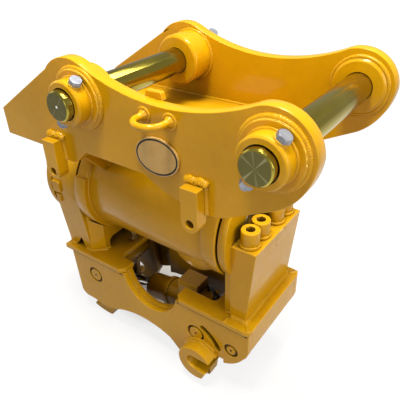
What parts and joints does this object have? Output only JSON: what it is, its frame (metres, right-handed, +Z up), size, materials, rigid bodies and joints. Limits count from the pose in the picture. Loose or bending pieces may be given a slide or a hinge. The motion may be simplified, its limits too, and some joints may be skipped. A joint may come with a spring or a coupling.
{
  "type": "tilting quick coupler",
  "caption": "Yellow welded excavator quick coupler: two pinned ears turn on a rotary actuator above a hitch frame with open jaws and a hydraulic hook.",
  "frame": {"origin": "on the ground plane, below the middle of the two ears' outline and the middle plane between them", "axes": "+X along the tilt axis toward the open jaws' mouths, +Y along the pins away from the side with the lifting loop, +Z up"},
  "size_m": [0.834, 0.55, 0.8804],
  "materials": {
    "yellow_paint": "glossy golden-yellow machine enamel over cut and welded steel plate",
    "gold_zinc_pin": "turned steel with yellow zinc passivation",
    "zinc_steel": "bright zinc plate",
    "chromed_rod": "ground hard chrome",
    "dark_hydraulic_steel": "black oxide",
    "machined_steel": "machined and oiled",
    "bearing_bronze": "turned",
    "seal_rubber": "matt",
    "plain_plate": "plain oval plate with a thin dark rim line, no mark"
  },
  "bodies": {
    "hitch_frame": {"actuator_shaft": "machined_steel", "cap_bolts": "yellow_paint", "cylinder_pin": "yellow_paint", "far_jaw": "yellow_paint", "far_side_plate": "yellow_paint", "foot_block": "yellow_paint", "foot_bolts": "yellow_paint", "foot_washers": "yellow_paint", "front_cross_plate": "yellow_paint", "front_flange": "yellow_paint", "hook_pivot_pin": "yellow_paint", "hose_fitting": "zinc_steel", "left_top_plate": "yellow_paint", "left_upright": "yellow_paint", "lock_barrel": "yellow_paint", "near_jaw": "yellow_paint", "near_side_plate": "yellow_paint", "port_block": "dark_hydraulic_steel", "port_rail": "yellow_paint", "rear_cap": "yellow_paint", "rear_cross_plate": "yellow_paint", "right_top_plate": "yellow_paint", "rod_gland": "dark_hydraulic_steel", "side_liners": "yellow_paint", "stub_pins": "yellow_paint"},
    "upper_head": {"near_ear": "yellow_paint", "far_ear": "yellow_paint", "cross_bolts": "zinc_steel", "cross_nuts": "zinc_steel", "lifting_loop": "yellow_paint", "oval_plate": "plain_plate", "deck_plate": "yellow_paint", "saddle_webs": "yellow_paint", "actuator_tube": "yellow_paint", "left_end_ring": "yellow_paint", "right_end_ring": "yellow_paint", "shaft_seals": "seal_rubber", "left_bearing": "bearing_bronze", "right_bearing": "bearing_bronze", "left_hitch_pin": "gold_zinc_pin", "right_hitch_pin": "gold_zinc_pin", "far_left_bracket": "yellow_paint", "far_left_bush": "yellow_paint", "far_left_collar": "yellow_paint", "far_right_bracket": "yellow_paint", "far_right_bush": "yellow_paint", "far_right_collar": "yellow_paint", "near_left_bracket": "yellow_paint", "near_left_bush": "yellow_paint", "near_left_collar": "yellow_paint", "near_right_bracket": "yellow_paint", "near_right_bush": "yellow_paint", "near_right_collar": "yellow_paint"},
    "sleeve": {"splined_sleeve": "machined_steel"},
    "lock_hook": {"near_claw": "yellow_paint", "far_claw": "yellow_paint", "hook_tube": "yellow_paint", "lever_cheeks": "yellow_paint", "lever_pin": "chromed_rod"},
    "lock_piston": {"lock_rod": "chromed_rod"}
  },
  "joints": [
    {"name": "tilt", "type": "hinge", "parent": "hitch_frame", "child": "upper_head", "pos_m": [0, 0, 0.472], "axis": [1, 0, 0], "range_deg": [-65, 65]},
    {"name": "sleeve_slide", "type": "slide", "parent": "hitch_frame", "child": "sleeve", "axis": [1, 0, 0], "range_m": [-0.07, 0.07]},
    {"name": "hook_swing", "type": "hinge", "parent": "hitch_frame", "child": "lock_hook", "pos_m": [-0.277, 0, 0.179], "axis": [0, -1, 0], "range_deg": [0, 24]},
    {"name": "piston_slide", "type": "slide", "parent": "hitch_frame", "child": "lock_piston", "axis": [0.985, 0, 0.1728], "range_m": [0, 0.04408]}
  ],
  "couplings": [
    {"joint": "sleeve_slide", "follows": "tilt", "m_per_rad": 0.061703},
    {"joint": "piston_slide", "follows": "hook_swing", "m_per_rad": 0.10523}
  ]
}
